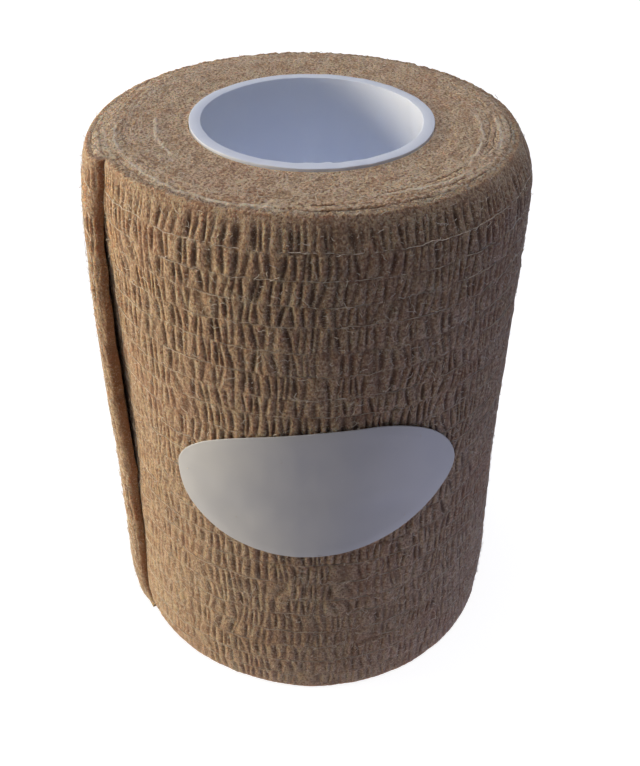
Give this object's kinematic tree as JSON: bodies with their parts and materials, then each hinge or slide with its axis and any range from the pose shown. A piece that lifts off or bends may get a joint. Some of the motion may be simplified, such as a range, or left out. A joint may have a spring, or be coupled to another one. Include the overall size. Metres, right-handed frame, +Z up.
{
  "type": "cohesive bandage roll",
  "caption": "Tan self-gripping crepe bandage wound on a white plastic core, standing on end, with its loose end at the side and a blank film label.",
  "frame": {"origin": "middle of the roll's footprint, on the surface that it stands on", "axes": "+Z up along the core, -Y towards the label, -X towards the loose end"},
  "size_m": [0.0568, 0.056, 0.0752],
  "materials": {
    "core_plastic": "satin",
    "crepe_cloth": "crinkled, matt",
    "label_film": "semi-gloss"
  },
  "bodies": {
    "root": {"core_tube": "core_plastic", "bandage_roll": "crepe_cloth", "loose_end": "crepe_cloth", "label": "label_film"}
  },
  "joints": []
}
